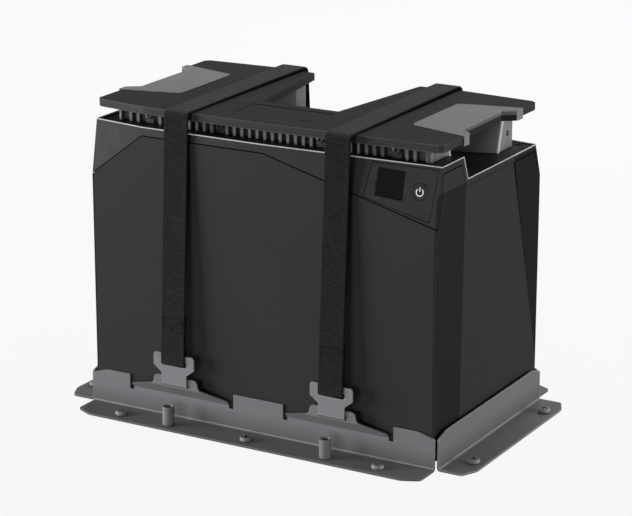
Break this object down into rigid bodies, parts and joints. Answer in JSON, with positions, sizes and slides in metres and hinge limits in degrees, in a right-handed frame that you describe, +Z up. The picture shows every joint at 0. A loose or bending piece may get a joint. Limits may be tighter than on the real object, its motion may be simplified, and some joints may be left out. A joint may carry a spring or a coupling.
{
  "type": "battery pack",
  "caption": "Floor-standing battery pack in a dark case with a ribbed top housing, held by two webbing straps hooked to steel floor rails.",
  "frame": {"origin": "on the floor, under the middle of the pack and its rails", "axes": "+X to the right along the front, +Y to the back, +Z up"},
  "size_m": [0.539, 0.3536, 0.3724],
  "materials": {
    "graphite_plastic": "fine satin texture, dark graphite",
    "cover_plastic": "fine matte texture, dark grey",
    "grip_plastic": "matte mid grey",
    "gloss_black": "gloss black",
    "gloss_panel": "semi gloss dark grey",
    "cast_aluminium": "satin, anodised dark grey",
    "powder_grey": "grey powder coat",
    "zinc_steel": "zinc plated",
    "hook_grey": "light grey powder coat",
    "webbing_black": "black woven polyester webbing",
    "rubber_black": "matte",
    "cell_blue": "blue film over aluminium cans",
    "board_green": "solder mask",
    "tray_white": "off-white moulding"
  },
  "bodies": {
    "pack": {"rail_front": "powder_grey", "rail_back": "powder_grey", "rail_left": "powder_grey", "rail_right": "powder_grey", "floor_screw_front_1": "zinc_steel", "floor_screw_front_2": "zinc_steel", "floor_screw_front_3": "zinc_steel", "floor_screw_back_1": "zinc_steel", "floor_screw_back_2": "zinc_steel", "floor_screw_back_3": "zinc_steel", "floor_screw_left_1": "zinc_steel", "floor_screw_left_2": "zinc_steel", "floor_screw_right_1": "zinc_steel", "floor_screw_right_2": "zinc_steel", "standoff_front_1": "zinc_steel", "standoff_front_2": "zinc_steel", "standoff_back_1": "zinc_steel", "standoff_back_2": "zinc_steel", "strap_hook_front_left": "hook_grey", "strap_hook_front_right": "hook_grey", "strap_hook_back_left": "hook_grey", "strap_hook_back_right": "hook_grey", "webbing_long_left": "webbing_black", "webbing_long_right": "webbing_black", "webbing_short_left": "webbing_black", "webbing_short_right": "webbing_black", "buckle_frame_left": "zinc_steel", "buckle_frame_right": "zinc_steel", "case_shell": "graphite_plastic", "case_collar": "graphite_plastic", "deck_plate": "graphite_plastic", "rubber_foot_front_left": "rubber_black", "rubber_foot_front_right": "rubber_black", "rubber_foot_back_left": "rubber_black", "rubber_foot_back_right": "rubber_black", "display_fascia": "gloss_panel", "display_screen": "gloss_black", "port_block": "gloss_black", "power_socket_left": "gloss_black", "power_socket_right": "gloss_black", "top_housing": "cast_aluminium", "end_plate_left": "cast_aluminium", "end_plate_right": "cast_aluminium", "top_cover": "cover_plastic", "grip_cap_left": "grip_plastic", "grip_cap_right": "grip_plastic", "cell_1": "cell_blue", "cell_2": "cell_blue", "cell_3": "cell_blue", "cell_4": "cell_blue", "cell_5": "cell_blue", "cell_6": "cell_blue", "cell_7": "cell_blue", "cell_8": "cell_blue", "busbar_tray": "tray_white", "control_board": "board_green"},
    "hatch": {"hatch_lid": "cover_plastic"},
    "button": {"power_button": "gloss_panel"},
    "lever_left": {"cam_lever_left": "zinc_steel"},
    "lever_right": {"cam_lever_right": "zinc_steel"}
  },
  "joints": [
    {"name": "hatch_hinge", "type": "hinge", "parent": "pack", "child": "hatch", "pos_m": [0, -0.0536, 0.3654], "axis": [-1, 0, 0], "range_deg": [0, 95]},
    {"name": "power_press", "type": "slide", "parent": "pack", "child": "button", "axis": [-0.0479, 0.9822, -0.1817], "range_m": [0, 0.0008], "stiffness_N_per_m": 2000},
    {"name": "cam_left", "type": "hinge", "parent": "pack", "child": "lever_left", "pos_m": [-0.1046, 0.1536, 0.1925], "axis": [1, 0, 0], "range_deg": [0, 110]},
    {"name": "cam_right", "type": "hinge", "parent": "pack", "child": "lever_right", "pos_m": [0.1046, 0.1536, 0.1925], "axis": [1, 0, 0], "range_deg": [0, 110]}
  ]
}
